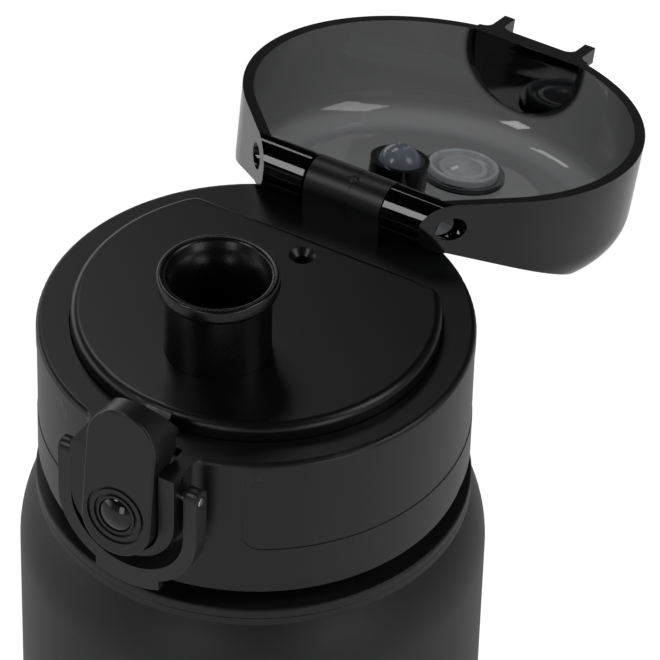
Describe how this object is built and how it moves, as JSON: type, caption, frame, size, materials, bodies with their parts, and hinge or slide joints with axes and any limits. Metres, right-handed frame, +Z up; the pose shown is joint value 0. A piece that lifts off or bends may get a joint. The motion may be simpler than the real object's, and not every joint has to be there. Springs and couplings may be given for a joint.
{
  "type": "sports water bottle",
  "caption": "Flip-top sports bottle: screw lid with a drinking spout, sprung flip cover, rocking release tab and swinging lock bail.",
  "frame": {"origin": "centre of the bottle's foot, on the surface it stands on", "axes": "+Z up along the bottle's axis, +Y towards the cover's hinge, -Y towards the latch, X along the hinge axis"},
  "size_m": [0.0742, 0.1382, 0.2343],
  "materials": {
    "bottle": "frosted dark grey",
    "cap": "soft-touch near black",
    "lid": "fine-grained dark grey",
    "cover": "polished smoke-grey, slightly see-through",
    "latch": "fine-grained dark grey",
    "button": "polished black",
    "silicone": "smooth grey silicone",
    "steel": "plain stainless wire and rod"
  },
  "bodies": {
    "bottle": {"bottle_body": "bottle"},
    "cap_seal": {"neck_gasket": "silicone"},
    "lid": {"lid_shell": "lid", "inner_cap": "cap", "drinking_spout": "cap", "spout_gasket": "silicone", "hinge_pin": "steel", "hinge_spring": "steel", "tab_pin": "steel", "bail_pin_left": "steel", "bail_pin_right": "steel"},
    "cover": {"flip_cover": "cover", "vent_plug": "silicone", "spout_seal": "silicone"},
    "tab": {"release_tab": "latch", "push_button": "button", "tab_spring": "steel"},
    "bail": {"lock_bail": "latch"}
  },
  "joints": [
    {"name": "cap_rise", "type": "slide", "parent": "bottle", "child": "cap_seal", "axis": [0, 0, 1], "range_m": [0, 0.0057]},
    {"name": "cap_turn", "type": "hinge", "parent": "cap_seal", "child": "lid", "pos_m": [0, 0, 0.212], "axis": [0, 0, 1], "range_deg": [0, 450]},
    {"name": "cover_hinge", "type": "hinge", "parent": "lid", "child": "cover", "pos_m": [0, 0.0295, 0.2219], "axis": [1, 0, 0], "range_deg": [0, 192.8], "stiffness_Nm_per_rad": 0.004, "springref_deg": -28.65},
    {"name": "tab_rock", "type": "hinge", "parent": "lid", "child": "tab", "pos_m": [0, -0.037, 0.2157], "axis": [1, 0, 0], "range_deg": [0, 7.5], "stiffness_Nm_per_rad": 0.05, "springref_deg": -11.46},
    {"name": "bail_swing", "type": "hinge", "parent": "lid", "child": "bail", "pos_m": [0, -0.0363, 0.2125], "axis": [-1, 0, 0], "range_deg": [0, 180]}
  ],
  "couplings": [
    {"joint": "cap_rise", "follows": "cap_turn", "m_per_rad": 0.0007162}
  ]
}
